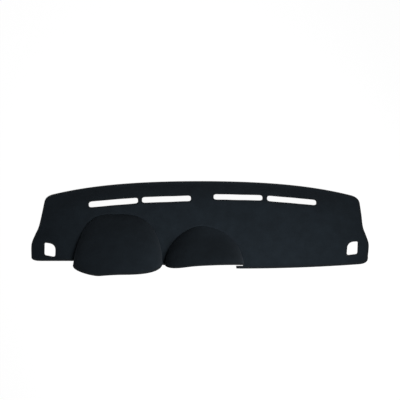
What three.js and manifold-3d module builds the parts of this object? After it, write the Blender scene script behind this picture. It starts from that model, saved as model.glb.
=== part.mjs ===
// A sewn felt cover mat for a car's dashboard, with two domed hoods, four outlet slots and bound edges.
// Millimetres. X runs across the car, Y towards the windscreen and Z up.
// Plan positions are measured from the windscreen's foot, so the front lies at minus Y.
import * as THREE from "three";
import { mergeVertices } from "three/addons/utils/BufferGeometryUtils.js";
import Module from "manifold-3d";

const wasm = await Module();
wasm.setup();

// Felt and tape
const clothThickness = 4.2;
const tapeThickness = 0.8;
const tapeWidth = 8;
const openingTapeWidth = 6;
const clothInTape = 2.8; // the felt is pinched to this inside the folded tape
const clearance = 0.3; // between pieces that touch

// Panel outline
const screenGap = 5; // between the windscreen's foot and the middle of the rear edge
const rearHalfWidth = 690;
const rearBow = 85; // the rear corners lie this far in front of the middle
const rearFlatness = 0.4; // share of the bow that comes only near the corners
const leftSide = { rear: -687, waist: -693, flare: -710.5, foot: -702 };
const rightSide = { rear: 704, waist: 700, flare: 711.5, foot: 699 };
const waistDepth = 250;
const flareDepth = 338;
const footDepth = 396;
const upperSide = { x: 0.35, y: 0.5 }; // a side's form halfway from its rear corner to its waist
const lowerSide = { x: 0.6, y: 0.5 }; // and from its waist to its flare
const leftWingDepth = 417;
const leftWingEnd = -518;
const rightFrontDepth = 453;
const rightFrontStart = 165;
const rightFrontRise = 24; // the right front edge curves back by this much at its corner
const rearCornerSize = 32;
const frontCornerSize = 42;

// Crown: the panel keeps the domed form of the dashboard top and rests on its flat hem
const crownHeight = 26;
const hemWidth = 14;
const crownRunRear = 130;
const crownRunFront = 300; // the top slopes gently down from the slots to the front
const crownRunSide = 190;
const hemSettle = 0.3;

// Defroster slots
const slotLength = 214;
const slotWidth = 33;
const slotCornerSize = 13.5;
const slots = [
  { name: "left_outer", x: -378, depth: 138, turn: 5.8 },
  { name: "left_inner", x: -147, depth: 120.5, turn: 2.4 },
  { name: "right_inner", x: 167, depth: 109.5, turn: -1.3 },
  { name: "right_outer", x: 401, depth: 126, turn: -6.1 },
];

// Corner openings: each corner's X, depth and rounding
const cornerOpenings = [
  { name: "left", corners: [[-655, 330, 6], [-648, 389, 9], [-603, 398, 9], [-607, 340, 30]] },
  { name: "right", corners: [[666, 324, 6], [622, 330, 30], [611, 391, 9], [656, 384, 9]] },
];

// Each hood is as wide as its seam, and runs from the seam at the back to a raised free lip at the front.
// A form gives where its arch peaks (-1 to 1 across) and how full it is to the left and right of that.
const instrumentHood = {
  centre: -339,
  halfWidth: 179,
  seamFront: 425,
  seamBack: 201,
  lipEndReach: 16, // the lip's two ends lie this far in front of the seam's ends
  lipReach: 104.5,
  lipEndRise: 7,
  lipRise: 88, // of the lip's underside over the floor
  seamForm: { peak: -0.05, left: 4, right: 2.7 },
  lipForm: { peak: -0.28, left: 1.15, right: 5 },
  riseForm: { peak: 0.2, left: 1.7, right: 4 },
  fullness: 2.4,
  straight: 0, // share of the profile that is a straight ramp up to the lip
  softFrom: 2, // the part of the seam, across, where a crisp step turns to a soft ramp
  softTo: 3,
  leastSquareRun: 0.7, // near its ends the lip runs almost along the hood, and this limits the slant
  columns: 24,
};

const centreHood = {
  centre: 18.5,
  halfWidth: 158.5,
  seamFront: 424,
  seamBack: 259,
  lipEndReach: 16,
  lipReach: 65.5,
  lipEndRise: 7,
  lipRise: 90,
  seamForm: { peak: -0.1, left: 1.6, right: 1.9 },
  lipForm: { peak: -0.33, left: 2.6, right: 2.8 },
  riseForm: { peak: 0.2, left: 2, right: 2.2 },
  fullness: 2,
  straight: 0.5,
  softFrom: -0.5,
  softTo: 0.2,
  leastSquareRun: 0.95,
  columns: 22,
};
const lipRounding = 0.16; // softens the corner at the peak of a lip that is straight on one side
const hoodRows = [0, 0.07, 0.17, 0.3, 0.46, 0.66, 0.85];

// A tab of the panel lies in front of the centre hood's right end, under its lip
const tabDepth = 12;
const tabWidth = 28;

const boundThickness = clothInTape + 2 * (tapeThickness + clearance);
const clothLow = (boundThickness - clothThickness) / 2;
const clothHigh = clothLow + clothThickness;
const rearSteps = 18;
const frontSteps = 7;
const sideSteps = 11;
const cornerSteps = 5;
const holeCornerSteps = 3;
const sharpestTurn = 0.5; // where a loop turns sharply, its offset is held back by this
const surfaceStep = 0.004; // across or along a hood, for its slopes
const weldDistance = 1e-4;
const beyond = 150; // cutting shapes run past the piece that they cut by this much

const clamp01 = (value) => Math.min(1, Math.max(0, value));
const mix = THREE.MathUtils.lerp;

// The panel's four edges
function rearY(x) {
  const share = x / rearHalfWidth;
  return -screenGap - rearBow * ((1 - rearFlatness) * share ** 2 + rearFlatness * share ** 4);
}

function frontY(x) {
  if (x < leftWingEnd) return -leftWingDepth;
  if (x < rightFrontStart) {
    const share = (x - leftWingEnd) / (rightFrontStart - leftWingEnd);
    return -mix(leftWingDepth, rightFrontDepth, share);
  }
  const share = (x - rightFrontStart) / (rightSide.foot - rightFrontStart);
  return -rightFrontDepth + rightFrontRise * share ** 2;
}

function sidePoints(side) {
  const top = rearY(side.rear) - rearCornerSize;
  const line = new THREE.SplineCurve([
    new THREE.Vector2(side.rear, top),
    new THREE.Vector2(mix(side.rear, side.waist, upperSide.x), mix(top, -waistDepth, upperSide.y)),
    new THREE.Vector2(side.waist, -waistDepth),
    new THREE.Vector2(mix(side.waist, side.flare, lowerSide.x), -mix(waistDepth, flareDepth, lowerSide.y)),
    new THREE.Vector2(side.flare, -flareDepth),
    new THREE.Vector2(side.foot, -footDepth),
  ]);
  return line.getPoints(sideSteps);
}

const leftEdge = sidePoints(leftSide);
const rightEdge = sidePoints(rightSide);

function sideX(edge, y) {
  let next = edge.findIndex((point) => point.y <= y);
  if (next < 0) next = edge.length - 1;
  if (next === 0) return edge[0].x;
  const a = edge[next - 1];
  const b = edge[next];
  return mix(a.x, b.x, clamp01((y - a.y) / (b.y - a.y)));
}

// How far the sheet's underside stands above the floor
function crown(x, y) {
  const rise = (distance, run) => Math.sin((Math.PI / 2) * clamp01((distance - hemWidth) / run));
  const deep = rise(rearY(x) - y, crownRunRear) * rise(y - frontY(x), crownRunFront);
  const wide = rise(x - sideX(leftEdge, y), crownRunSide) * rise(sideX(rightEdge, y) - x, crownRunSide);
  return Math.max(0, crownHeight * deep * wide - hemSettle);
}

// Plan loops, as closed lists of points that run anticlockwise
function filleted(a, corner, b, steps) {
  return new THREE.QuadraticBezierCurve(a, corner, b).getPoints(steps);
}

function roundedLoop(corners) {
  const points = corners.map(([x, y]) => new THREE.Vector2(x, y));
  return points.flatMap((corner, i) => {
    const towards = (other) => other.clone().sub(corner).setLength(corners[i][2]).add(corner);
    const before = points[(i + points.length - 1) % points.length];
    const after = points[(i + 1) % points.length];
    return filleted(towards(before), corner, towards(after), holeCornerSteps);
  });
}

function panelOutline() {
  const wingStart = leftSide.foot + frontCornerSize;
  const rightEnd = rightSide.foot - frontCornerSize;
  const point = (x, edgeY) => new THREE.Vector2(x, edgeY(x));
  const front = [point(wingStart, frontY), point(leftWingEnd, frontY)];
  for (let i = 0; i <= frontSteps; i++)
    front.push(point(mix(rightFrontStart, rightEnd, i / frontSteps), frontY));
  const rear = [];
  const rearStart = rightSide.rear - rearCornerSize;
  const rearEnd = leftSide.rear + rearCornerSize;
  for (let i = 0; i <= rearSteps; i++) rear.push(point(mix(rearStart, rearEnd, i / rearSteps), rearY));
  const rearCorner = (side) => new THREE.Vector2(side.rear, rearY(side.rear));
  const frontCorner = (side) => new THREE.Vector2(side.foot, frontY(side.foot));
  return [
    ...filleted(leftEdge.at(-1), frontCorner(leftSide), front[0], cornerSteps),
    ...front.slice(1, -1),
    ...filleted(front.at(-1), frontCorner(rightSide), rightEdge.at(-1), cornerSteps),
    ...rightEdge.toReversed().slice(1, -1),
    ...filleted(rightEdge[0], rearCorner(rightSide), rear[0], cornerSteps),
    ...rear.slice(1, -1),
    ...filleted(rear.at(-1), rearCorner(leftSide), leftEdge[0], cornerSteps),
    ...leftEdge.slice(1, -1),
  ];
}

function slotLoop(slot) {
  const x = slotLength / 2;
  const y = slotWidth / 2;
  const corners = [[-x, -y], [x, -y], [x, y], [-x, y]].map((corner) => {
    const place = new THREE.Vector2(...corner).rotateAround(
      new THREE.Vector2(),
      THREE.MathUtils.degToRad(slot.turn),
    );
    return [slot.x + place.x, place.y - slot.depth, slotCornerSize];
  });
  return roundedLoop(corners);
}

function cornerLoop(opening) {
  const corners = opening.corners.map(([x, depth, size]) => [x, -depth, size]);
  return THREE.ShapeUtils.area(corners.map(([x, y]) => new THREE.Vector2(x, y))) < 0
    ? roundedLoop(corners.reverse())
    : roundedLoop(corners);
}

// Moves a loop's points outwards by a distance, or inwards where it is negative
function offsetLoop(points, distance) {
  return points.map((point, i) => {
    const before = points[(i + points.length - 1) % points.length];
    const after = points[(i + 1) % points.length];
    const inDirection = point.clone().sub(before).normalize();
    const outDirection = after.clone().sub(point).normalize();
    const normalIn = new THREE.Vector2(inDirection.y, -inDirection.x);
    const normalOut = new THREE.Vector2(outDirection.y, -outDirection.x);
    const bisector = normalIn.clone().add(normalOut).normalize();
    const stretch = 1 / Math.max(sharpestTurn, bisector.dot(normalIn));
    return point.clone().addScaledVector(bisector, distance * stretch);
  });
}

// Solids
function toSolid(geometry) {
  geometry.deleteAttribute("normal");
  geometry.deleteAttribute("uv");
  const merged = mergeVertices(geometry, weldDistance);
  return new wasm.Manifold(
    new wasm.Mesh({
      numProp: 3,
      vertProperties: merged.attributes.position.array,
      triVerts: new Uint32Array(merged.index.array),
    }),
  );
}

function toGeometry(solid) {
  const mesh = solid.getMesh();
  return new THREE.BufferGeometry()
    .setAttribute("position", new THREE.BufferAttribute(mesh.vertProperties, mesh.numProp))
    .setIndex(new THREE.BufferAttribute(mesh.triVerts, 1));
}

function prism(loop) {
  const shape = new THREE.Shape(loop);
  const geometry = new THREE.ExtrudeGeometry(shape, { depth: 2 * beyond, bevelEnabled: false });
  return toSolid(geometry.translate(0, 0, -beyond));
}

function ring(outer, inner) {
  return prism(outer).subtract(prism(inner));
}

// A box to be bent into a sheet. Its two large faces are cut into triangles the same way, so that sheets
// which follow the same surface stay parallel where it twists
function flatSheet(columns, rows) {
  const geometry = new THREE.BoxGeometry(1, 1, 1, columns, rows, 1);
  const corners = geometry.index.array;
  const { start, count } = geometry.groups[5];
  for (let k = start; k < start + count; k += 6) {
    const [a, b, d, , c] = corners.slice(k, k + 6);
    corners.set([a, b, c, a, c, d], k);
  }
  return geometry;
}

// The grid that the crowned sheets share: lines near the edges, then even steps between
const sideLines = [-10, 11, 40, 85, 150];
const deepLines = [-10, 11, 35, 65, 100];
const middleColumns = 18;
const middleRows = 3;

function gridLine(index, lines, middleSteps, low, high) {
  const last = lines.length - 1;
  const total = 2 * last + middleSteps;
  if (index <= last) return low + lines[index];
  if (index >= total - last) return high - lines[total - index];
  return mix(low + lines[last], high - lines[last], (index - last) / middleSteps);
}

function crownedSheet(low, high) {
  const columns = 2 * (sideLines.length - 1) + middleColumns;
  const rows = 2 * (deepLines.length - 1) + middleRows;
  const geometry = flatSheet(columns, rows);
  const position = geometry.attributes.position;
  for (let k = 0; k < position.count; k++) {
    const i = Math.round((position.getX(k) + 0.5) * columns);
    const j = Math.round((position.getY(k) + 0.5) * rows);
    const columnX = (y) =>
      gridLine(i, sideLines, middleColumns, sideX(leftEdge, y), sideX(rightEdge, y));
    const rowY = (x) => gridLine(j, deepLines, middleRows, frontY(x), rearY(x));
    const x = columnX(rowY(columnX(-waistDepth)));
    const y = rowY(x);
    position.setXYZ(k, x, y, crown(x, y) + (position.getZ(k) < 0 ? low : high));
  }
  return toSolid(geometry);
}

// A tape folded over the free edge of the panel: an outer edge, or a hole's edge where hole is true
function foldedTape(edge, width, hole) {
  const inwards = hole ? 1 : -1;
  const at = (distance) => offsetLoop(edge, inwards * distance);
  const band = (from, to) => (hole ? ring(at(to), at(from)) : ring(at(from), at(to)));
  const tape = band(0, width).intersect(crownedSheet(0, boundThickness));
  const groove = band(tapeThickness, width + 2 * tapeThickness).intersect(
    crownedSheet(tapeThickness, boundThickness - tapeThickness),
  );
  const room = tapeThickness + clearance;
  const under = crownedSheet(-beyond, room);
  const over = crownedSheet(boundThickness - room, beyond);
  const legRoom = band(-1, width + clearance).intersect(under.add(over));
  const edgeRoom = band(-1, room);
  return { tape: tape.subtract(groove), room: legRoom.add(edgeRoom) };
}

// Hoods
function arch(form, across, rounding = 0) {
  const span = across < form.peak ? 1 + form.peak : 1 - form.peak;
  const fullness = across < form.peak ? form.left : form.right;
  const away = Math.hypot((across - form.peak) / span, rounding) - rounding;
  const share = away / (Math.hypot(1, rounding) - rounding);
  return Math.sqrt(Math.max(0, 1 - share ** fullness));
}

// Even steps round the arch, so the columns lie closest where its sides are steep
function columnAcross(hood, column) {
  return -Math.cos((Math.PI * column) / hood.columns);
}

function seamPoint(hood, across) {
  const depth = mix(hood.seamFront, hood.seamBack, arch(hood.seamForm, across));
  return new THREE.Vector2(hood.centre + across * hood.halfWidth, -depth);
}

function hoodSurface(hood, seam) {
  const seamLine = new THREE.SplineCurve(seam);
  const seamAt = (across) => seamLine.getPoint(Math.acos(-across) / Math.PI);
  const reach = (across) =>
    mix(hood.lipEndReach, hood.lipReach, arch(hood.lipForm, across, lipRounding));
  const lipY = (across) => -hood.seamFront - reach(across);
  const lipZ = (across) => mix(hood.lipEndRise, hood.lipRise, arch(hood.riseForm, across));
  const profile = (across, along) => {
    const crisp = 1 - Math.abs(1 - along) ** hood.fullness;
    const soft = THREE.MathUtils.smoothstep(along, 0, 1);
    const ramp = THREE.MathUtils.smoothstep(across, hood.softFrom, hood.softTo);
    return mix(mix(crisp, soft, ramp), along, hood.straight);
  };
  const point = (across, along) => {
    const from = seamAt(across);
    const height = mix(crown(from.x, from.y), lipZ(across), profile(across, along));
    return new THREE.Vector3(from.x, mix(from.y, lipY(across), along), height);
  };
  const acrossHood = (across, along) => {
    const left = point(Math.max(-1, across - surfaceStep), along);
    return point(Math.min(1, across + surfaceStep), along).sub(left);
  };
  const normal = (across, along) => {
    const alongX = acrossHood(across, along);
    const alongY = point(across, along - surfaceStep).sub(point(across, along + surfaceStep));
    return alongX.cross(alongY).normalize();
  };
  // The hood's run from seam to lip, measured square to the lip
  const run = (across) => {
    const lip = point(across, 1);
    const edge = acrossHood(across, 1);
    const inwards = new THREE.Vector3(lip.x, seamAt(across).y, lip.z).sub(lip);
    const square = inwards.clone().cross(edge).length() / edge.length();
    return Math.max(square, hood.leastSquareRun * inwards.length());
  };
  return { point, normal, run };
}

// A strip that follows a hood. Each of its rows gives, for its two faces, how far along the hood the
// face lies (as a function of the hood's run there) and how far over the hood's underside
function hoodStrip(hood, surface, rows) {
  const last = rows.length - 1;
  const geometry = flatSheet(hood.columns, last);
  const position = geometry.attributes.position;
  for (let k = 0; k < position.count; k++) {
    const column = Math.round((position.getX(k) + 0.5) * hood.columns);
    const row = rows[last - Math.round((position.getY(k) + 0.5) * last)];
    const face = position.getZ(k) < 0 ? row.under : row.over;
    const across = columnAcross(hood, column);
    const along = face.along(surface.run(across));
    const place = surface.point(across, along);
    position.setXYZ(k, ...place.addScaledVector(surface.normal(across, along), face.lift));
  }
  return toSolid(geometry);
}

const fromLip = (distance) => (run) => 1 - distance / run;
const sheetRow = (along, low, high) => ({ under: { along, lift: low }, over: { along, lift: high } });

function hoodCloth(hood, surface) {
  const tapeStart = tapeWidth + clearance;
  const pinchedLow = tapeThickness + clearance;
  const pinchedHigh = pinchedLow + clothInTape;
  const rows = hoodRows.map((share) =>
    sheetRow((run) => share * (1 - tapeStart / run), clothLow, clothHigh),
  );
  rows.push(
    sheetRow(fromLip(tapeStart), clothLow, clothHigh),
    sheetRow(fromLip(tapeWidth), pinchedLow, pinchedHigh),
    sheetRow(fromLip(tapeThickness + clearance), pinchedLow, pinchedHigh),
  );
  return hoodStrip(hood, surface, rows);
}

// The tape is one strip, folded round the lip: its lower leg, its fold and its upper leg
function hoodTape(hood, surface) {
  const inner = fromLip(tapeWidth - clearance);
  const fold = fromLip(tapeThickness);
  const edge = fromLip(0);
  const top = boundThickness;
  const corner = (outerAlong, outerLift, innerAlong, innerLift) => ({
    under: { along: outerAlong, lift: outerLift },
    over: { along: innerAlong, lift: innerLift },
  });
  const rows = [
    corner(inner, 0, inner, tapeThickness),
    corner(edge, 0, fold, tapeThickness),
    corner(edge, top, fold, top - tapeThickness),
    corner(inner, top, inner, top - tapeThickness),
  ];
  return hoodStrip(hood, surface, rows);
}

function buildHood(hood) {
  const seam = [];
  for (let column = 0; column <= hood.columns; column++)
    seam.push(seamPoint(hood, columnAcross(hood, column)));
  const inset = seam.map((point, i) => {
    const before = seam[Math.max(0, i - 1)];
    const after = seam[Math.min(seam.length - 1, i + 1)];
    const along = after.clone().sub(before).normalize();
    return point.clone().addScaledVector(new THREE.Vector2(along.y, -along.x), clearance);
  });
  const surface = hoodSurface(hood, inset);
  return { seam, inset, cloth: hoodCloth(hood, surface), tape: hoodTape(hood, surface) };
}

const instrument = buildHood(instrumentHood);
const centre = buildHood(centreHood);

// The hole in the panel for a hood: its seam, closed in front of the panel by the points given
function hoodHole(seam, front) {
  const ahead = (point) => new THREE.Vector2(point.x, -rightFrontDepth - beyond);
  const end = front.at(-1) ?? seam.at(-1);
  return prism([...seam, ...front, ahead(end), ahead(seam[0])].reverse());
}

const centreEnd = centre.seam.at(-1);
const tabInnerY = -rightFrontDepth + tabDepth;
const hoodRoom = hoodHole(instrument.seam, []).add(
  hoodHole(centre.seam, [
    new THREE.Vector2(centreEnd.x, tabInnerY),
    new THREE.Vector2(centreEnd.x - tabWidth, tabInnerY),
  ]),
);

// Where a hood's wall bulges over its seam, its foot is cut back to clear the panel
function trimFoot(hood, solid) {
  const panelSpace = crownedSheet(-beyond, boundThickness + clearance);
  return solid.subtract(panelSpace.subtract(hoodHole(hood.inset, [])));
}

// Panel and its tapes
const outline = panelOutline();
const outerTape = foldedTape(outline, tapeWidth, false);
let panel = crownedSheet(clothLow, clothHigh)
  .intersect(prism(offsetLoop(outline, -tapeThickness - clearance)))
  .subtract(outerTape.room)
  .subtract(hoodRoom);
const openingTapes = [];
const openings = [
  ...slots.map((slot) => ["slot_binding_" + slot.name, slotLoop(slot)]),
  ...cornerOpenings.map((opening) => ["corner_binding_" + opening.name, cornerLoop(opening)]),
];
for (const [name, loop] of openings) {
  const { tape, room } = foldedTape(loop, openingTapeWidth, true);
  panel = panel.subtract(prism(loop)).subtract(room);
  openingTapes.push([name, tape]);
}
const outerTapes = outerTape.tape
  .subtract(hoodRoom)
  .decompose()
  .sort((a, b) => b.volume() - a.volume());

// Materials: near-black felt, and a slightly darker woven tape
const felt = { color: 0x1d2125, roughness: 0.96, metalness: 0 };
const tapeCloth = { color: 0x15181b, roughness: 0.85, metalness: 0 };

function named(name, solid, finish) {
  const mesh = new THREE.Mesh(toGeometry(solid), new THREE.MeshStandardMaterial(finish));
  mesh.name = name;
  return mesh;
}

const mat = new THREE.Group();
mat.add(
  named("main_panel", panel, felt),
  named("instrument_hood", trimFoot(instrument, instrument.cloth), felt),
  named("centre_hood", trimFoot(centre, centre.cloth), felt),
  named("panel_binding", outerTapes[0], tapeCloth),
  named("notch_binding", outerTapes[1], tapeCloth),
  named("instrument_hood_binding", trimFoot(instrument, instrument.tape), tapeCloth),
  named("centre_hood_binding", trimFoot(centre, centre.tape), tapeCloth),
  ...openingTapes.map(([name, tape]) => named(name, tape, tapeCloth)),
);

// The origin lies under the middle of the mat's box, on the floor
const box = new THREE.Box3().setFromObject(mat);
const middle = box.getCenter(new THREE.Vector3());
mat.position.set(-middle.x, -middle.y, -box.min.z);

export default mat;
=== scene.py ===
import math

import bmesh
import bpy
import numpy as np
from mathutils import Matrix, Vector
from mathutils.geometry import delaunay_2d_cdt


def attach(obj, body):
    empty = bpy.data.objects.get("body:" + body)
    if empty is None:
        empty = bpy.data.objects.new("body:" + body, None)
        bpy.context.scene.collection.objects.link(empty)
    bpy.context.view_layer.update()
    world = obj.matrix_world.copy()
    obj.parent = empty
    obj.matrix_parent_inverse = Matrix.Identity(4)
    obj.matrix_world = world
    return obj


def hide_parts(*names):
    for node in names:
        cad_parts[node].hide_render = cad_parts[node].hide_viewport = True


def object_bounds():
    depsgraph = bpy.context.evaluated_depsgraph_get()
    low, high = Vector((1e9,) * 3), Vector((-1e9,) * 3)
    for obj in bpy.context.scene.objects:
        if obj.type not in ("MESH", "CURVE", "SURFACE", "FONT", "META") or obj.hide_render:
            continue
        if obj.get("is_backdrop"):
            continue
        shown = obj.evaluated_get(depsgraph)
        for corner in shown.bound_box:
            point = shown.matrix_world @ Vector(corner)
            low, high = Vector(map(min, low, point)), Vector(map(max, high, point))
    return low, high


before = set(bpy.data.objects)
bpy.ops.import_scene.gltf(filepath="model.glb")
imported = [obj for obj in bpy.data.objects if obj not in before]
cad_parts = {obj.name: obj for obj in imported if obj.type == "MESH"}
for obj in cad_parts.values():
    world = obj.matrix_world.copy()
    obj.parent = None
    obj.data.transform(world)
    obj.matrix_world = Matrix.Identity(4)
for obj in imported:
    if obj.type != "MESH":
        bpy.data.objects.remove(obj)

cad_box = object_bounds()

# Felt panel
# One cut sheet of needled felt. It keeps the low crown of the dashboard's top and lies on its flat hem.
# Four defroster slots, two corner openings and the places of the two hoods are cut out of it.
# Plan positions are measured from the windscreen's foot, in metres, so the front lies at minus Y.
SCREEN_FOOT = np.array([-0.00045, 0.26725, 0.0])
SCREEN_GAP = 0.005
REAR_HALF_WIDTH = 0.690
REAR_BOW = 0.085
REAR_FLATNESS = 0.4
LEFT_SIDE = {"rear": -0.687, "waist": -0.693, "flare": -0.7105, "foot": -0.702}
RIGHT_SIDE = {"rear": 0.704, "waist": 0.700, "flare": 0.7115, "foot": 0.699}
UPPER_SIDE = (0.35, 0.5)
LOWER_SIDE = (0.6, 0.5)
WAIST_DEPTH = 0.250
FLARE_DEPTH = 0.338
FOOT_DEPTH = 0.396
LEFT_WING_DEPTH = 0.417
LEFT_WING_END = -0.518
RIGHT_FRONT_DEPTH = 0.453
RIGHT_FRONT_START = 0.165
RIGHT_FRONT_RISE = 0.024
REAR_CORNER = 0.032
FRONT_CORNER = 0.042
CROWN_HEIGHT = 0.026
HEM_WIDTH = 0.014
CROWN_RUN_REAR = 0.130
CROWN_RUN_FRONT = 0.300
CROWN_RUN_SIDE = 0.190
HEM_SETTLE = 0.0003
FELT_LOW = 0.0004
FELT_HIGH = 0.0046
FELT_IN_TAPE = (0.0011, 0.0039)
TAPE_WIDTH = 0.008
OPENING_TAPE_WIDTH = 0.006
FELT_EDGE_ROOM = 0.0011
SEAM_DROP = 0.0014
SEAM_ROLL = np.array([0, 0.0008, 0.002, 0.0045])
SEAM_ROLL_SHARE = np.array([1, 0.5, 0.15, 0])
WAVE_HEIGHT = 0.0005
FELT_GRID = 0.008
FELT_SHARP = math.radians(48)
EDGE_STEP = 0.005
OPENING_STEP = 0.003
SEAM_STEP = 0.004

SLOT_LENGTH = 0.214
SLOT_WIDTH = 0.033
SLOT_CORNER = 0.0135
SLOTS = {
    "left_outer": (-0.378, 0.138, 5.8),
    "left_inner": (-0.147, 0.1205, 2.4),
    "right_inner": (0.167, 0.1095, -1.3),
    "right_outer": (0.401, 0.126, -6.1),
}
CORNER_OPENINGS = {
    "left": [(-0.607, 0.340, 0.030), (-0.655, 0.330, 0.006), (-0.648, 0.389, 0.009), (-0.603, 0.398, 0.009)],
    "right": [(0.666, 0.324, 0.006), (0.622, 0.330, 0.030), (0.611, 0.391, 0.009), (0.656, 0.384, 0.009)],
}

INSTRUMENT_HOOD = {
    "centre": -0.339, "half_width": 0.179, "seam_front": 0.425, "seam_back": 0.201,
    "end_reach": 0.016, "reach": 0.1045, "end_rise": 0.007, "rise": 0.088,
    "seam_form": (-0.05, 4, 2.7), "lip_form": (-0.28, 1.15, 5), "rise_form": (0.2, 1.7, 4),
    "fullness": 2.4, "straight": 0, "soft": (2, 3), "least_run": 0.7,
}
CENTRE_HOOD = {
    "centre": 0.0185, "half_width": 0.1585, "seam_front": 0.424, "seam_back": 0.259,
    "end_reach": 0.016, "reach": 0.0655, "end_rise": 0.007, "rise": 0.090,
    "seam_form": (-0.1, 1.6, 1.9), "lip_form": (-0.33, 2.6, 2.8), "rise_form": (0.2, 2, 2.2),
    "fullness": 2, "straight": 0.5, "soft": (-0.5, 0.2), "least_run": 0.95,
}
HOOD_CLEARANCE = 0.0003
LIP_ROUNDING = 0.16
TAB_DEPTH = 0.012
TAB_WIDTH = 0.028


def mix(a, b, share):
    return a + (b - a) * share


def smooth(value):
    value = np.clip(value, 0, 1)
    return value * value * (3 - 2 * value)


def rear_y(x):
    share = x / REAR_HALF_WIDTH
    return -SCREEN_GAP - REAR_BOW * ((1 - REAR_FLATNESS) * share**2 + REAR_FLATNESS * share**4)


def front_y(x):
    left = (x - LEFT_WING_END) / (RIGHT_FRONT_START - LEFT_WING_END)
    right = np.maximum(0, x - RIGHT_FRONT_START) / (RIGHT_SIDE["foot"] - RIGHT_FRONT_START)
    step = mix(LEFT_WING_DEPTH, RIGHT_FRONT_DEPTH, np.clip(left, 0, 1))
    return -step + RIGHT_FRONT_RISE * right**2


def through(points, count):
    """A smooth line through the points."""
    points = np.array(points, float)
    last = len(points) - 1
    at = np.linspace(0, last, count)
    near = np.minimum(at.astype(int), last - 1)
    share = (at - near)[:, None]
    before, start, end, after = (points[np.clip(near + k, 0, last)] for k in (-1, 0, 1, 2))
    leave, arrive = (end - before) / 2, (after - start) / 2
    cubic = (2 * start - 2 * end + leave + arrive) * share**3
    return cubic + (3 * end - 3 * start - 2 * leave - arrive) * share**2 + leave * share + start


def side_line(side):
    top = rear_y(side["rear"]) - REAR_CORNER
    return through([
        (side["rear"], top),
        (mix(side["rear"], side["waist"], UPPER_SIDE[0]), mix(top, -WAIST_DEPTH, UPPER_SIDE[1])),
        (side["waist"], -WAIST_DEPTH),
        (mix(side["waist"], side["flare"], LOWER_SIDE[0]), -mix(WAIST_DEPTH, FLARE_DEPTH, LOWER_SIDE[1])),
        (side["flare"], -FLARE_DEPTH),
        (side["foot"], -FOOT_DEPTH),
    ], 56)


left_line = side_line(LEFT_SIDE)
right_line = side_line(RIGHT_SIDE)


def rounded(before, corner, after, steps=12):
    """A corner's curve, from one edge to the next."""
    share = np.linspace(0, 1, steps)[:, None]
    before, corner, after = (np.array(point, float) for point in (before, corner, after))
    return (1 - share) ** 2 * before + 2 * share * (1 - share) * corner + share**2 * after


def crown(x, y):
    """Height of the felt's underside, less what lies in the tape."""
    def rise(distance, run):
        return np.sin(np.pi / 2 * np.clip((distance - HEM_WIDTH) / run, 0, 1))

    left = np.interp(-y, -left_line[:, 1], left_line[:, 0])
    right = np.interp(-y, -right_line[:, 1], right_line[:, 0])
    deep = rise(rear_y(x) - y, CROWN_RUN_REAR) * rise(y - front_y(x), CROWN_RUN_FRONT)
    wide = rise(x - left, CROWN_RUN_SIDE) * rise(right - x, CROWN_RUN_SIDE)
    waves = np.sin(31 * x + 17 * y) * np.sin(43 * y - 9 * x + 1) + 0.6 * np.sin(67 * x - 38 * y + 2)
    return np.maximum(0, CROWN_HEIGHT * deep * wide - HEM_SETTLE) + WAVE_HEIGHT * waves * deep * wide


def crown_normal(x, y, step=0.002):
    slope_x = (crown(x + step, y) - crown(x - step, y)) / (2 * step)
    slope_y = (crown(x, y + step) - crown(x, y - step)) / (2 * step)
    normal = np.stack([-slope_x, -slope_y, np.ones_like(slope_x)], -1)
    return normal / np.linalg.norm(normal, axis=-1, keepdims=True)


def lengths(path):
    return np.r_[0, np.cumsum(np.linalg.norm(np.diff(path, axis=0), axis=1))]


def even(path, step, closed=False):
    """The path with points at even distances. A closed path doesn't repeat its first point."""
    path = np.vstack([path, path[:1]]) if closed else np.asarray(path)
    arc = lengths(path)
    count = max(2, round(arc[-1] / step))
    at = np.linspace(0, arc[-1], count, endpoint=not closed) if closed else np.linspace(0, arc[-1], count + 1)
    return np.stack([np.interp(at, arc, path[:, k]) for k in range(path.shape[1])], -1)


def left_of(path, closed):
    """Unit vectors that point to the left of a plan path."""
    if closed:
        along = np.roll(path, -1, axis=0) - np.roll(path, 1, axis=0)
    else:
        along = np.gradient(path, axis=0)
    along /= np.linalg.norm(along, axis=1, keepdims=True)
    return np.stack([-along[:, 1], along[:, 0]], -1)


def outer_path():
    """The bound edge of the panel, anticlockwise from the tab to the instrument hood."""
    tab_end = CENTRE_HOOD["centre"] + CENTRE_HOOD["half_width"] - TAB_WIDTH
    front = [(x, front_y(x)) for x in np.linspace(tab_end, RIGHT_SIDE["foot"] - FRONT_CORNER, 60)]
    rear_x = np.linspace(RIGHT_SIDE["rear"] - REAR_CORNER, LEFT_SIDE["rear"] + REAR_CORNER, 90)
    rear = [(x, rear_y(x)) for x in rear_x]
    wing = (LEFT_SIDE["foot"] + FRONT_CORNER, -LEFT_WING_DEPTH)

    def rear_corner(side):
        return side["rear"], rear_y(side["rear"])

    def front_corner(side):
        return side["foot"], front_y(side["foot"])

    return even(np.vstack([
        front[:-1],
        rounded(front[-1], front_corner(RIGHT_SIDE), right_line[-1]),
        right_line[::-1][1:-1],
        rounded(right_line[0], rear_corner(RIGHT_SIDE), rear[0]),
        rear[1:-1],
        rounded(rear[-1], rear_corner(LEFT_SIDE), left_line[0]),
        left_line[1:-1],
        rounded(left_line[-1], front_corner(LEFT_SIDE), wing),
        [(LEFT_WING_END, -LEFT_WING_DEPTH)],
    ]), EDGE_STEP)


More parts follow.
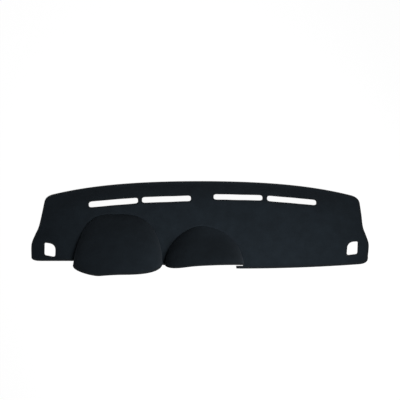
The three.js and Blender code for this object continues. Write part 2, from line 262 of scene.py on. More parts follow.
def rounded_loop(corners):
    """A closed loop with a rounding at each corner, given as X, Y and size."""
    loop = []
    for k, (x, y, size) in enumerate(corners):
        corner = np.array([x, y])
        before, after = (np.array(corners[(k + step) % len(corners)][:2]) for step in (-1, 1))
        ends = [corner + (end - corner) * size / np.linalg.norm(end - corner) for end in (before, after)]
        loop.append(rounded(ends[0], corner, ends[1], 8))
    return even(np.vstack(loop), OPENING_STEP, closed=True)


def slot_loop(x, depth, turn):
    turn = math.radians(turn)
    corners = []
    for side_x, side_y in ((-1, -1), (1, -1), (1, 1), (-1, 1)):
        along, aside = side_x * SLOT_LENGTH / 2, side_y * SLOT_WIDTH / 2
        place_x = x + along * math.cos(turn) - aside * math.sin(turn)
        place_y = -depth + along * math.sin(turn) + aside * math.cos(turn)
        corners.append((place_x, place_y, SLOT_CORNER))
    return rounded_loop(corners)


def arch(form, across, rounding=0.0):
    """A hood's arch from end to end. Rounding softens the corner at its peak."""
    peak, left, right = form
    span = np.where(across < peak, 1 + peak, 1 - peak)
    fullness = np.where(across < peak, left, right)
    away = np.abs((across - peak) / span)
    away = (np.hypot(away, rounding) - rounding) / (math.hypot(1, rounding) - rounding)
    return np.sqrt(np.maximum(0, 1 - away**fullness))


def seam_line(hood, turn):
    """The hood's seam in plan. Turn runs from 0 at its left end to pi at its right end."""
    across = -np.cos(turn)
    depth = mix(hood["seam_front"], hood["seam_back"], arch(hood["seam_form"], across))
    return np.stack([hood["centre"] + across * hood["half_width"], -depth], -1)


def seam_path(hood):
    return even(seam_line(hood, np.linspace(0, np.pi, 400)), SEAM_STEP)


instrument_seam = seam_path(INSTRUMENT_HOOD)
centre_seam = seam_path(CENTRE_HOOD)
outer_edge = outer_path()
notch_from, notch_to = centre_seam[0, 0], instrument_seam[-1, 0]
notch_x = np.linspace(notch_from, notch_to, 6)
notch_edge = np.stack([notch_x, front_y(notch_x)], -1)
opening_edges = {"slot_binding_" + name: slot_loop(*slot) for name, slot in SLOTS.items()}
for name, corners in CORNER_OPENINGS.items():
    loop = [(x, -depth, size) for x, depth, size in corners]
    opening_edges["corner_binding_" + name] = rounded_loop(loop)


def distance_to(points, path, closed=False):
    """Each point's distance to a plan path."""
    path = np.vstack([path, path[:1]]) if closed else path
    start, run = path[:-1], np.diff(path, axis=0)
    square = np.maximum((run**2).sum(1), 1e-18)
    nearest = []
    for part in np.array_split(points, max(1, len(points) // 2000)):
        away = part[:, None] - start
        share = np.clip((away * run).sum(-1) / square, 0, 1)
        nearest.append(np.linalg.norm(away - share[..., None] * run, axis=-1).min(1))
    return np.concatenate(nearest)


def inside(points, loop):
    """Whether each point lies inside a closed plan loop."""
    after = np.roll(loop, -1, axis=0)
    found = []
    for part in np.array_split(points, max(1, len(points) // 2000)):
        x, y = part[:, 0][:, None], part[:, 1][:, None]
        crosses = (loop[:, 1] > y) != (after[:, 1] > y)
        rise = np.where(after[:, 1] == loop[:, 1], 1, after[:, 1] - loop[:, 1])
        at = loop[:, 0] + (y - loop[:, 1]) * (after[:, 0] - loop[:, 0]) / rise
        found.append((crosses & (x < at)).sum(1) % 2 == 1)
    return np.concatenate(found)


def placed(mesh, material, sharp):
    """The mesh as an object at the origin, with its faces pointing outwards."""
    shell = bmesh.new()
    shell.from_mesh(mesh)
    if shell.calc_volume(signed=True) < 0:
        bmesh.ops.reverse_faces(shell, faces=shell.faces)
    shell.to_mesh(mesh)
    shell.free()
    mesh.shade_smooth()
    mesh.set_sharp_from_angle(angle=sharp)
    mesh.materials.append(material)
    piece = bpy.data.objects.new(mesh.name, mesh)
    bpy.context.scene.collection.objects.link(piece)
    return piece


def new_piece(name, points, faces, material):
    mesh = bpy.data.meshes.new(name)
    mesh.from_pydata([tuple(point) for point in np.asarray(points) + SCREEN_FOOT], [], faces)
    return placed(mesh, material, FELT_SHARP)


def link(tree, source, target):
    tree.links.new(source, target)


def node(tree, kind, **values):
    made = tree.nodes.new(kind)
    for key, value in values.items():
        if key in made.bl_rna.properties:
            setattr(made, key, value)
        else:
            made.inputs[key.replace("_", " ")].default_value = value
    return made


def felt_material():
    """Needled felt: short matted fibres in all directions, a little uneven in depth and shade."""
    material = bpy.data.materials.new("needled_felt")
    material.use_nodes = True
    tree = material.node_tree
    shader = tree.nodes["Principled BSDF"]
    place = node(tree, "ShaderNodeTexCoord")
    fibres = None
    for turn, offset in ((0.3, 0.0), (1.35, 3.1), (2.4, 7.7)):
        mapping = node(tree, "ShaderNodeMapping", vector_type="TEXTURE")
        mapping.inputs["Rotation"].default_value = (0.2, 0.1, turn)
        mapping.inputs["Location"].default_value = (offset, offset, 0)
        mapping.inputs["Scale"].default_value = (0.0040, 0.0008, 0.0011)
        link(tree, place.outputs["Object"], mapping.inputs["Vector"])
        noise = node(tree, "ShaderNodeTexNoise", Scale=1.0, Detail=2.0, Roughness=0.6, Distortion=0.6)
        link(tree, mapping.outputs["Vector"], noise.inputs["Vector"])
        if fibres is None:
            fibres = noise.outputs["Fac"]
            continue
        higher = node(tree, "ShaderNodeMath", operation="MAXIMUM")
        link(tree, fibres, higher.inputs[0])
        link(tree, noise.outputs["Fac"], higher.inputs[1])
        fibres = higher.outputs[0]
    tufts = node(tree, "ShaderNodeTexNoise", Scale=260.0, Detail=4.0, Roughness=0.65)
    patches = node(tree, "ShaderNodeTexNoise", Scale=24.0, Detail=5.0, Roughness=0.6)
    for texture in (tufts, patches):
        link(tree, place.outputs["Object"], texture.inputs["Vector"])
    shade = node(tree, "ShaderNodeValToRGB")
    shade.color_ramp.elements[0].position = 0.40
    shade.color_ramp.elements[0].color = (0.0050, 0.0073, 0.0098, 1)
    shade.color_ramp.elements[1].position = 0.82
    shade.color_ramp.elements[1].color = (0.0135, 0.0193, 0.0250, 1)
    link(tree, fibres, shade.inputs["Fac"])
    uneven = node(tree, "ShaderNodeMapRange", From_Min=0.3, From_Max=0.7, To_Min=0.84, To_Max=1.16)
    link(tree, patches.outputs["Fac"], uneven.inputs["Value"])
    colour = node(tree, "ShaderNodeMix", data_type="RGBA", blend_type="MULTIPLY")
    colour.inputs["Factor"].default_value = 1
    link(tree, shade.outputs["Color"], colour.inputs[6])
    link(tree, uneven.outputs["Result"], colour.inputs[7])
    link(tree, colour.outputs[2], shader.inputs["Base Color"])
    depth = node(tree, "ShaderNodeMix", data_type="FLOAT")
    depth.inputs["Factor"].default_value = 0.45
    link(tree, fibres, depth.inputs[2])
    link(tree, tufts.outputs["Fac"], depth.inputs[3])
    bump = node(tree, "ShaderNodeBump", Strength=0.55, Distance=0.0009)
    link(tree, depth.outputs[0], bump.inputs["Height"])
    link(tree, bump.outputs["Normal"], shader.inputs["Normal"])
    shader.inputs["Roughness"].default_value = 0.95
    shader.inputs["Specular IOR Level"].default_value = 0.08
    shader.inputs["Sheen Weight"].default_value = 0.02
    shader.inputs["Sheen Roughness"].default_value = 0.5
    shader.inputs["Sheen Tint"].default_value = (0.75, 0.87, 1, 1)
    return material


felt = felt_material()


def felt_heights(points):
    """The felt's two faces, pinched inside the tapes and rolled down at the hoods' seams."""
    low, high = np.full(len(points), FELT_LOW), np.full(len(points), FELT_HIGH)
    bound = [(outer_edge, False, TAPE_WIDTH), (notch_edge, False, TAPE_WIDTH)]
    bound += [(loop, True, OPENING_TAPE_WIDTH) for loop in opening_edges.values()]
    for path, closed, width in bound:
        away = distance_to(points, path, closed)
        near = [width - 0.0002, width + 0.0003, width + 0.0025]
        low = np.maximum(low, np.interp(away, near, [FELT_IN_TAPE[0], 0.0006, FELT_LOW]))
        high = np.minimum(high, np.interp(away, near, [FELT_IN_TAPE[1], 0.0043, FELT_HIGH]))
    for path in (instrument_seam, centre_seam):
        away = distance_to(points, path)
        high = np.minimum(high, np.interp(away, SEAM_ROLL, FELT_HIGH - SEAM_DROP * SEAM_ROLL_SHARE))
    return low, high


def build_panel():
    tab_x = centre_seam[-1, 0]
    tab_y = -RIGHT_FRONT_DEPTH + TAB_DEPTH

    def bound(distance):
        return outer_edge + left_of(outer_edge, False) * distance

    def notch(distance):
        return notch_edge + left_of(notch_edge, False) * -distance

    kept = instrument_seam[instrument_seam[:, 1] > -LEFT_WING_DEPTH + FELT_EDGE_ROOM]
    rim = np.vstack([
        bound(FELT_EDGE_ROOM),
        kept,
        notch_edge[::-1] + [0, FELT_EDGE_ROOM],
        centre_seam,
        [(tab_x, tab_y), (tab_x - TAB_WIDTH, tab_y)],
    ])
    holes = []
    lines = []
    for loop in opening_edges.values():
        into_felt = -left_of(loop, True)
        holes.append(loop + into_felt * FELT_EDGE_ROOM)
        for distance in (0.0058, 0.0063, 0.0085):
            lines.append((loop + into_felt * distance, True))
    for distance in (0.0078, 0.0083, 0.0105):
        lines.append((bound(distance)[2:-2], False))
    for seam in (instrument_seam, centre_seam):
        outwards = left_of(seam, False)
        for distance in SEAM_ROLL[1:]:
            lines.append((seam[3:-3] + outwards[3:-3] * distance, False))

    points, edges = [], []

    def add(path, closed):
        first = len(points)
        points.extend(path)
        count = len(path)
        edges.extend((first + k, first + (k + 1) % count) for k in range(count if closed else count - 1))

    add(rim, True)
    for hole in holes:
        add(hole, True)
    for path, closed in lines:
        keep = inside(path, rim)
        if keep.all():
            add(path, closed)
        else:
            points.extend(path[keep])
    rows = np.arange(rim[:, 1].min(), rim[:, 1].max(), FELT_GRID * 0.866)
    columns = np.arange(rim[:, 0].min(), rim[:, 0].max(), FELT_GRID)
    grid = np.array([(x + (k % 2) * FELT_GRID / 2, y) for k, y in enumerate(rows) for x in columns])
    grid = grid[inside(grid, rim)]
    for path in [rim] + holes + [path for path, closed in lines]:
        grid = grid[distance_to(grid, path) > FELT_GRID * 0.45]
    points.extend(grid)
    flat, _, cells, _, _, _ = delaunay_2d_cdt([Vector(point) for point in points], edges, [], 0, 1e-7)
    flat = np.array([tuple(point) for point in flat])
    cells = np.array(cells)
    middles = flat[cells].mean(1)
    wanted = inside(middles, rim)
    for hole in holes:
        wanted &= ~inside(middles, hole)
    cells = cells[wanted]
    used, cells = np.unique(cells, return_inverse=True)
    flat, cells = flat[used], cells.reshape(-1, 3)
    low, high = felt_heights(flat)
    base = crown(flat[:, 0], flat[:, 1])
    over = np.column_stack([flat, base + high])
    under = np.column_stack([flat, base + low])
    count = len(flat)
    faces = [tuple(int(k) for k in cell) for cell in cells]
    faces += [tuple(int(k) + count for k in cell[::-1]) for cell in cells]
    sides = {(a, b) for cell in cells for a, b in zip(cell, np.roll(cell, -1))}
    faces += [(int(b), int(a), int(a) + count, int(b) + count) for a, b in sides if (b, a) not in sides]
    return new_piece("felt_panel", np.vstack([over, under]), faces, felt)


felt_panel = build_panel()
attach(felt_panel, "root")
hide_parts("main_panel")

# Edge tapes
# Woven twill tape, 0.8 mm thick, folded over every cut edge of the panel and sewn down near its free edge.
# One runs round the outside, a short one closes the notch between the hoods, and each opening has its own.
TAPE = 0.0008
BOUND = 0.005
TAPE_SHARP = math.radians(50)
TAPE_STITCH_INSET = 0.002
STITCH_DIP = 0.0003


def tape_material():
    material = bpy.data.materials.new("twill_tape")
    material.use_nodes = True
    tree = material.node_tree
    shader = tree.nodes["Principled BSDF"]
    place = node(tree, "ShaderNodeTexCoord")
    ribs = []
    for turn, scale in ((math.radians(58), 1150), (math.radians(-35), 900)):
        mapping = node(tree, "ShaderNodeMapping")
        mapping.inputs["Rotation"].default_value = (0, 0, turn)
        link(tree, place.outputs["UV"], mapping.inputs["Vector"])
        wave = node(tree, "ShaderNodeTexWave", Scale=scale / 6.283, Distortion=0.6, Detail=1.0)
        wave.inputs["Detail Scale"].default_value = 1.5
        link(tree, mapping.outputs["Vector"], wave.inputs["Vector"])
        ribs.append(wave.outputs["Fac"])
    weave = node(tree, "ShaderNodeMix", data_type="FLOAT")
    weave.inputs["Factor"].default_value = 0.3
    link(tree, ribs[0], weave.inputs[2])
    link(tree, ribs[1], weave.inputs[3])
    shade = node(tree, "ShaderNodeValToRGB")
    shade.color_ramp.elements[0].color = (0.0038, 0.0050, 0.0065, 1)
    shade.color_ramp.elements[1].color = (0.0105, 0.0135, 0.0165, 1)
    link(tree, weave.outputs[0], shade.inputs["Fac"])
    link(tree, shade.outputs["Color"], shader.inputs["Base Color"])
    bump = node(tree, "ShaderNodeBump", Strength=0.5, Distance=0.00025)
    link(tree, weave.outputs[0], bump.inputs["Height"])
    link(tree, bump.outputs["Normal"], shader.inputs["Normal"])
    shader.inputs["Roughness"].default_value = 0.8
    shader.inputs["Specular IOR Level"].default_value = 0.12
    shader.inputs["Sheen Weight"].default_value = 0.01
    shader.inputs["Sheen Roughness"].default_value = 0.4
    return material


twill = tape_material()


def tape_section(width):
    """The folded tape's section: distance in from the edge, and height. Its outer face comes first."""
    bend = BOUND / 2
    turns = np.linspace(0, np.pi, 9)
    outside = [(bend * (1 - math.sin(turn)), bend * (1 + math.cos(turn))) for turn in turns]
    inner = bend - TAPE
    fold = [(bend - inner * math.sin(turn), bend + inner * math.cos(turn)) for turn in turns[::-2]]
    dip = width - TAPE_STITCH_INSET
    top = [(width, BOUND - 0.0005), (width - 0.0004, BOUND - 0.00005)]
    top += [(dip, BOUND - STITCH_DIP), (dip - 0.0014, BOUND)]
    foot = [(width, 0), (width, TAPE)]
    return np.array(top + outside + foot + fold + [(width - 0.0002, BOUND - TAPE)])


def sweep(name, rows, closed, section, arc):
    """A tape from its rows of section points, with the weave's UV in metres along and across it."""
    count, size = rows.shape[:2]
    ring = range(size)
    faces, corners = [], []
    across = lengths(np.vstack([section, section[:1]]))
    for i in range(count if closed else count - 1):
        for k in ring:
            nearer, farther = i * size, (i + 1) % count * size
            after = (k + 1) % size
            faces.append((nearer + k, nearer + after, farther + after, farther + k))
            here, there = arc[i], arc[i + 1]
            near, far = across[k], across[k + 1]
            corners.append([(here, near), (here, far), (there, far), (there, near)])
    if not closed:
        last = (count - 1) * size
        for cap in (tuple(reversed(ring)), tuple(last + k for k in ring)):
            faces.append(cap)
            corners.append([(0, 0)] * size)
    mesh = bpy.data.meshes.new(name)
    mesh.from_pydata([tuple(point) for point in rows.reshape(-1, 3) + SCREEN_FOOT], [], faces)
    uv = mesh.uv_layers.new(name="weave")
    uv.data.foreach_set("uv", np.array([value for face in corners for corner in face for value in corner]))
    return placed(mesh, twill, TAPE_SHARP)


def bind(name, path, closed, width, into_felt):
    """A tape over a plan edge. Into_felt is 1 where the felt lies to the left of the path, or -1."""
    section = tape_section(width)
    aside = left_of(path, closed) * into_felt
    plan = path[:, None] + aside[:, None] * section[None, :, :1]
    base = crown(plan[..., 0], plan[..., 1])
    rows = np.concatenate([plan, (base + section[:, 1])[..., None]], -1)
    arc = lengths(np.vstack([path, path[:1]]) if closed else path)
    piece = sweep(name + "_tape", rows, closed, section, arc)
    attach(piece, "root")
    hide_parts(name)
    line = path + aside * (width - TAPE_STITCH_INSET)
    sewn = np.column_stack([line, crown(line[:, 0], line[:, 1]) + BOUND - STITCH_DIP])
    return piece, (sewn, crown_normal(line[:, 0], line[:, 1]), closed)


sewn_lines = []
bound_edges = [
    ("panel_binding", outer_edge, False, TAPE_WIDTH, 1),
    ("notch_binding", notch_edge, False, TAPE_WIDTH, -1),
]
bound_edges += [(name, loop, True, OPENING_TAPE_WIDTH, -1) for name, loop in opening_edges.items()]
for name, path, closed, width, into_felt in bound_edges:
    piece, line = bind(name, path, closed, width, into_felt)
    sewn_lines.append(line)

# Instrument hood and centre hood
# Each is a pressed felt shell, sewn to the edge of its hole in the panel and open at the front, where its
# free lip stands over the instruments or the display. Its felt is the panel's.
HOOD_COLUMNS = 128
HOOD_TABLE = 600


def hood_seam(hood):
    """The hood's own edge at the seam, as a table over the turn, just inside the panel's."""
    turn = np.linspace(0, np.pi, HOOD_TABLE)
    seam = seam_line(hood, turn)
    return turn, seam - left_of(seam, False) * HOOD_CLEARANCE


def hood_point(hood, table, turn, along):
    """A point of the hood's underside: turn goes round the seam, along from the seam (0) to the lip (1)."""
    turn, along = np.broadcast_arrays(turn, along)
    across = -np.cos(turn)
    from_x, from_y = (np.interp(turn, table[0], table[1][:, k]) for k in (0, 1))
    lip_arch = arch(hood["lip_form"], across, LIP_ROUNDING)
    lip_y = -hood["seam_front"] - mix(hood["end_reach"], hood["reach"], lip_arch)
    lip_z = mix(hood["end_rise"], hood["rise"], arch(hood["rise_form"], across))
    crisp = 1 - np.abs(1 - along) ** hood["fullness"]
    ramp = smooth((across - hood["soft"][0]) / (hood["soft"][1] - hood["soft"][0]))
    profile = mix(mix(crisp, smooth(along), ramp), along, hood["straight"])
    height = mix(crown(from_x, from_y), lip_z, profile)
    return np.stack([from_x, mix(from_y, lip_y, along), height], -1)


def hood_normal(hood, table, turn, along, step=0.004):
    turn, along = np.broadcast_arrays(turn, along)

    def point(turn, along):
        return hood_point(hood, table, np.clip(turn, 0, np.pi), along)

    around = point(turn + step, along) - point(turn - step, along)
    back = point(turn, along - step) - point(turn, along + step)
    normal = np.cross(around, back)
    return normal / np.linalg.norm(normal, axis=-1, keepdims=True)


def hood_run(hood, table, turn, step=0.01):
    """The hood's length from seam to lip, measured square to the lip."""
    lip = hood_point(hood, table, turn, 1.0)
    low, high = (hood_point(hood, table, np.clip(turn + by, 0, np.pi), 1.0) for by in (-step, step))
    edge = (high - low) / np.linalg.norm(high - low, axis=-1, keepdims=True)
    inwards = np.interp(turn, table[0], table[1][:, 1]) - lip[:, 1]
    square = inwards * np.sqrt(np.maximum(0, 1 - edge[:, 1] ** 2))
    return np.maximum(square, hood["least_run"] * inwards)


def build_hood(name, hood):
    table = hood_seam(hood)
    turn = np.linspace(0, np.pi, HOOD_COLUMNS + 1)
    run = hood_run(hood, table, turn)
    tape_start = TAPE_WIDTH + 0.0004
    shares = np.r_[0, 0.004, 0.01, 0.018, 0.03, 0.05, 0.075, np.linspace(0.105, 1, 34)]
    along = [share * (1 - tape_start / run) for share in shares]
    along += [1 - distance / run for distance in (TAPE_WIDTH - 0.0002, 0.0045, FELT_EDGE_ROOM)]
    along = np.array(along).T
    turn = turn[:, None]
    base = hood_point(hood, table, turn, along)
    normal = hood_normal(hood, table, turn, along)
    over_seam = base[..., 2] - base[:, :1, 2]
    upright = smooth(over_seam / 0.009)[..., None]
    lift = mix(np.array([0, 0, 1.0]), normal, upright)
    lift /= np.linalg.norm(lift, axis=-1, keepdims=True)
    from_seam = np.linalg.norm(base - base[:, :1], axis=-1)
    rolled = np.interp(from_seam, SEAM_ROLL, SEAM_DROP * SEAM_ROLL_SHARE)
    low, high = np.full(along.shape, FELT_LOW), FELT_HIGH - rolled
    low[:, -3:], high[:, -3:] = FELT_IN_TAPE
    waves = np.sin(29 * base[..., 0] + 41 * base[..., 1]) * np.sin(37 * base[..., 0] - 23 * base[..., 1] + 1)
    calm = smooth(from_seam / 0.05) * smooth((1 - along) * run[:, None] / 0.05)
    wave = (WAVE_HEIGHT * waves * calm)[..., None]
    over = base + lift * (high[..., None] + wave)
    under = base + lift * (low[..., None] + wave)
    columns, rows = along.shape
    ring = np.concatenate([over, under[:, ::-1]], axis=1)
    size = 2 * rows
    faces = []
    for i in range(columns - 1):
        for k in range(size):
            after = (k + 1) % size
            faces.append((i * size + k, i * size + after, (i + 1) * size + after, (i + 1) * size + k))
    for i, flip in ((0, True), (columns - 1, False)):
        for k in range(rows - 1):
            cap = (i * size + k, i * size + k + 1, i * size + size - 2 - k, i * size + size - 1 - k)
            faces.append(cap[::-1] if flip else cap)
    shell = new_piece("felt_" + name, ring.reshape(-1, 3), faces, felt)
    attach(shell, "root")
    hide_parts(name)

    section = tape_section(TAPE_WIDTH)
    turn = np.linspace(0, np.pi, 2 * HOOD_COLUMNS + 1)
    run = hood_run(hood, table, turn)
    place = 1 - section[None, :, 0] / run[:, None]
    rows = hood_point(hood, table, turn[:, None], place)
    rows = rows + hood_normal(hood, table, turn[:, None], place) * section[:, 1][:, None]
    arc = lengths(hood_point(hood, table, turn, 1.0))
    tape = sweep(name + "_binding_tape", rows, False, section, arc)
    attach(tape, "root")
    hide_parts(name + "_binding")
    row = 1 - (TAPE_WIDTH - TAPE_STITCH_INSET) / run
    up = hood_normal(hood, table, turn, row)
    line = hood_point(hood, table, turn, row) + up * (BOUND - STITCH_DIP)
    return shell, tape, (line, up, False)


hood_pieces = {}
for name, hood in (("instrument_hood", INSTRUMENT_HOOD), ("centre_hood", CENTRE_HOOD)):
    hood_pieces[name] = build_hood(name, hood)

# Stitches
# Black polyester thread. One row holds each tape near its free edge, and one row holds each hood's seam
# to the panel. Each visible stitch is a short arc that dives into the cloth at both ends.
STITCH_PITCH = 0.0042
STITCH_LENGTH = 0.0033
THREAD_RADIUS = 0.00027
STITCH_SINK = 0.0006
SEAM_STITCH_INSET = 0.0065


def thread_material():
    material = bpy.data.materials.new("sewing_thread")
    material.use_nodes = True
    tree = material.node_tree
    shader = tree.nodes["Principled BSDF"]
    place = node(tree, "ShaderNodeTexCoord")
    twist = node(tree, "ShaderNodeTexWave", Scale=480.0, Distortion=1.0)
    twist.bands_direction = "DIAGONAL"
    link(tree, place.outputs["Object"], twist.inputs["Vector"])
    shade = node(tree, "ShaderNodeValToRGB")
    shade.color_ramp.elements[0].color = (0.0040, 0.0055, 0.0070, 1)
    shade.color_ramp.elements[1].color = (0.0140, 0.0175, 0.0210, 1)
    link(tree, twist.outputs["Fac"], shade.inputs["Fac"])
    link(tree, shade.outputs["Color"], shader.inputs["Base Color"])
    shader.inputs["Roughness"].default_value = 0.6
    shader.inputs["Specular IOR Level"].default_value = 0.15
    return material


thread = thread_material()


def stitch_tree():
    """Lays stitches along a path whose points carry their surface's normal in the attribute up."""
    tree = bpy.data.node_groups.new("stitch_row", "GeometryNodeTree")
    face = tree.interface
    face.new_socket("Geometry", in_out="INPUT", socket_type="NodeSocketGeometry")
    sizes = {
        "Pitch": STITCH_PITCH,
        "Stitch Length": STITCH_LENGTH,
        "Thread Radius": THREAD_RADIUS,
        "Sink": STITCH_SINK,
    }
    for name, value in sizes.items():
        face.new_socket(name, in_out="INPUT", socket_type="NodeSocketFloat").default_value = value
    face.new_socket("Thread", in_out="INPUT", socket_type="NodeSocketMaterial")
    face.new_socket("Geometry", in_out="OUTPUT", socket_type="NodeSocketGeometry")
    given = node(tree, "NodeGroupInput")
    path = node(tree, "GeometryNodeMeshToCurve")
    spaced = node(tree, "GeometryNodeResampleCurve", mode="LENGTH")
    link(tree, given.outputs["Geometry"], path.inputs["Mesh"])
    link(tree, path.outputs["Curve"], spaced.inputs["Curve"])
    link(tree, given.outputs["Pitch"], spaced.inputs["Length"])

    def scaled(name, factor):
        product = node(tree, "ShaderNodeMath", operation="MULTIPLY")
        product.inputs[1].default_value = factor
        link(tree, given.outputs[name], product.inputs[0])
        return product.outputs[0]

    down = scaled("Sink", -1)
    arc = node(tree, "GeometryNodeCurveQuadraticBezier")
    arc.inputs["Resolution"].default_value = 5
    for end, share in (("Start", -0.5), ("End", 0.5)):
        place = node(tree, "ShaderNodeCombineXYZ")
        link(tree, scaled("Stitch Length", share), place.inputs["X"])
        link(tree, down, place.inputs["Z"])
        link(tree, place.outputs[0], arc.inputs[end])
    top = node(tree, "ShaderNodeCombineXYZ")
    link(tree, given.outputs["Sink"], top.inputs["Z"])
    link(tree, top.outputs[0], arc.inputs["Middle"])
    round_section = node(tree, "GeometryNodeCurvePrimitiveCircle")
    round_section.inputs["Resolution"].default_value = 6
    link(tree, given.outputs["Thread Radius"], round_section.inputs["Radius"])
    stitch = node(tree, "GeometryNodeCurveToMesh")
    stitch.inputs["Fill Caps"].default_value = True
    link(tree, arc.outputs["Curve"], stitch.inputs["Curve"])
    link(tree, round_section.outputs["Curve"], stitch.inputs["Profile Curve"])
    tangent = node(tree, "GeometryNodeInputTangent")
    up = node(tree, "GeometryNodeInputNamedAttribute", data_type="FLOAT_VECTOR")
    up.inputs["Name"].default_value = "up"
    turned = node(tree, "FunctionNodeAxesToRotation", primary_axis="Z", secondary_axis="X")
    link(tree, up.outputs["Attribute"], turned.inputs["Primary Axis"])
    link(tree, tangent.outputs["Tangent"], turned.inputs["Secondary Axis"])
    laid = node(tree, "GeometryNodeInstanceOnPoints")
    link(tree, spaced.outputs["Curve"], laid.inputs["Points"])
    link(tree, stitch.outputs["Mesh"], laid.inputs["Instance"])
    link(tree, turned.outputs["Rotation"], laid.inputs["Rotation"])
    real = node(tree, "GeometryNodeRealizeInstances")
    link(tree, laid.outputs["Instances"], real.inputs["Geometry"])
    dyed = node(tree, "GeometryNodeSetMaterial")
    link(tree, real.outputs["Geometry"], dyed.inputs["Geometry"])
    link(tree, given.outputs["Thread"], dyed.inputs["Material"])
    result = node(tree, "NodeGroupOutput")
    link(tree, dyed.outputs["Geometry"], result.inputs["Geometry"])
    return tree


stitches = stitch_tree()


def sew(name, lines):
    """One piece of thread for all the lines, each given as its points, its normals and whether it closes."""
    points, normals, edges = [], [], []
    for line, up, closed in lines:
        first, count = len(points), len(line)
        points.extend(tuple(point) for point in line + SCREEN_FOOT)
        normals.extend(up)
        edges.extend((first + k, first + (k + 1) % count) for k in range(count if closed else count - 1))
    mesh = bpy.data.meshes.new(name)
    mesh.from_pydata(points, edges, [])
    attribute = mesh.attributes.new("up", "FLOAT_VECTOR", "POINT")
    attribute.data.foreach_set("vector", np.array(normals).ravel())
    guide = bpy.data.objects.new(name + "_guide", mesh)
    bpy.context.scene.collection.objects.link(guide)
    modifier = guide.modifiers.new("stitches", "NODES")
    modifier.node_group = stitches
    inputs = {item.name: item.identifier for item in stitches.interface.items_tree if item.in_out == "INPUT"}
    modifier[inputs["Thread"]] = thread
    made = bpy.data.meshes.new_from_object(guide.evaluated_get(bpy.context.evaluated_depsgraph_get()))
    guide.modifiers.remove(modifier)
    bpy.data.objects.remove(guide)
    made.name = name
    made.shade_smooth()
    piece = bpy.data.objects.new(name, made)
    bpy.context.scene.collection.objects.link(piece)
    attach(piece, "root")
    return piece


seam_lines = []
for seam in (instrument_seam, centre_seam):
    line = seam + left_of(seam, False) * SEAM_STITCH_INSET
    line = line[line[:, 1] > front_y(line[:, 0]) + TAPE_WIDTH]
    sewn = np.column_stack([line, crown(line[:, 0], line[:, 1]) + FELT_HIGH])
    seam_lines.append((sewn, crown_normal(line[:, 0], line[:, 1]), False))
panel_thread = sew("panel_thread", sewn_lines + seam_lines)
instrument_thread = sew("instrument_hood_thread", [hood_pieces["instrument_hood"][2]])
centre_thread = sew("centre_hood_thread", [hood_pieces["centre_hood"][2]])

# Studio
# A white floor that keeps a faint shadow, and even fill from the sky. The key is a soft spot low in front and
# a little to the right, and its cone fades towards the mat's ends. The camera looks down from the front.
FLOOR_SIZE = 40.0
FLOOR_DROP = 0.0004
FLOOR_GLOW = 0.965
FLOOR_SHADE = 0.1
KEY_FROM = Vector((0.25, -0.82, 0.46))
KEY_AIM = Vector((0.10, 0.04, 0))
KEY_DISTANCE = 3.4
KEY_SIZE = 0.45
KEY_CONE = math.radians(38)
KEY_ENERGY = 850.0
FILL = 0.13
CAMERA_AIM = Vector((-0.00045, 0.16025, 0))
CAMERA_ELEVATION = math.radians(55)
CAMERA_DISTANCE = 2.8
CAMERA_LENS = 56.9

bpy.ops.mesh.primitive_plane_add(size=FLOOR_SIZE, location=(0, 0, -FLOOR_DROP))
floor = bpy.context.object
floor.name = "floor"
floor_paint = bpy.data.materials.new("floor_paint")
floor_paint.use_nodes = True
tree = floor_paint.node_tree
tree.nodes.clear()
seen = node(tree, "ShaderNodeLightPath")
matte = node(tree, "ShaderNodeBsdfDiffuse")
matte.inputs["Color"].default_value = (0.8, 0.8, 0.8, 1)
part_matte = node(tree, "ShaderNodeBsdfDiffuse")
part_matte.inputs["Color"].default_value = (FLOOR_SHADE, FLOOR_SHADE, FLOOR_SHADE, 1)
glow = node(tree, "ShaderNodeEmission")
glow.inputs["Strength"].default_value = FLOOR_GLOW
both = node(tree, "ShaderNodeAddShader")
link(tree, part_matte.outputs[0], both.inputs[0])
link(tree, glow.outputs[0], both.inputs[1])
chosen = node(tree, "ShaderNodeMixShader")
link(tree, seen.outputs["Is Camera Ray"], chosen.inputs[0])
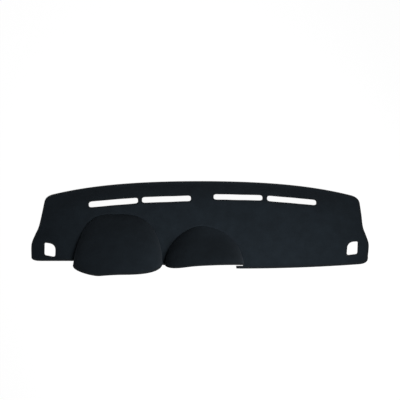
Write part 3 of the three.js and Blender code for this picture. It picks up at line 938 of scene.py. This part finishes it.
link(tree, matte.outputs[0], chosen.inputs[1])
link(tree, both.outputs[0], chosen.inputs[2])
surface = node(tree, "ShaderNodeOutputMaterial")
link(tree, chosen.outputs[0], surface.inputs["Surface"])
floor.data.materials.append(floor_paint)
floor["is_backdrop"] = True

world = bpy.data.worlds.new("studio")
bpy.context.scene.world = world
world.use_nodes = True
tree = world.node_tree
sky = tree.nodes["Background"]
sky.inputs["Color"].default_value = (1, 1, 1, 1)
seen = node(tree, "ShaderNodeLightPath")
bright = seen.outputs["Is Camera Ray"]
for ray in ("Is Glossy Ray", "Is Transmission Ray"):
    either = node(tree, "ShaderNodeMath", operation="MAXIMUM")
    link(tree, bright, either.inputs[0])
    link(tree, seen.outputs[ray], either.inputs[1])
    bright = either.outputs[0]
strength = node(tree, "ShaderNodeMapRange", To_Min=FILL, To_Max=1.0)
link(tree, bright, strength.inputs["Value"])
link(tree, strength.outputs["Result"], sky.inputs["Strength"])

key = bpy.data.objects.new("key_light", bpy.data.lights.new("key_light", "SPOT"))
key.data.spot_size = KEY_CONE
key.data.spot_blend = 1.0
key.data.shadow_soft_size = KEY_SIZE
key.data.energy = KEY_ENERGY
key.location = KEY_AIM + KEY_FROM.normalized() * KEY_DISTANCE
key.rotation_euler = KEY_FROM.to_track_quat("Z", "Y").to_euler()
bpy.context.scene.collection.objects.link(key)

camera = bpy.data.objects.new("camera", bpy.data.cameras.new("camera"))
camera.data.sensor_fit = "HORIZONTAL"
camera.data.sensor_width = 36
camera.data.lens = CAMERA_LENS
back = Vector((0, -math.cos(CAMERA_ELEVATION), math.sin(CAMERA_ELEVATION)))
camera.location = CAMERA_AIM + back * CAMERA_DISTANCE
camera.rotation_euler = (math.pi / 2 - CAMERA_ELEVATION, 0, 0)
bpy.context.scene.collection.objects.link(camera)
bpy.context.scene.camera = camera
bpy.context.scene.view_settings.view_transform = "Standard"


def corners(bounds):
    return [list(corner) for corner in bounds]


{"cad": corners(cad_box), "visual": corners(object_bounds())}
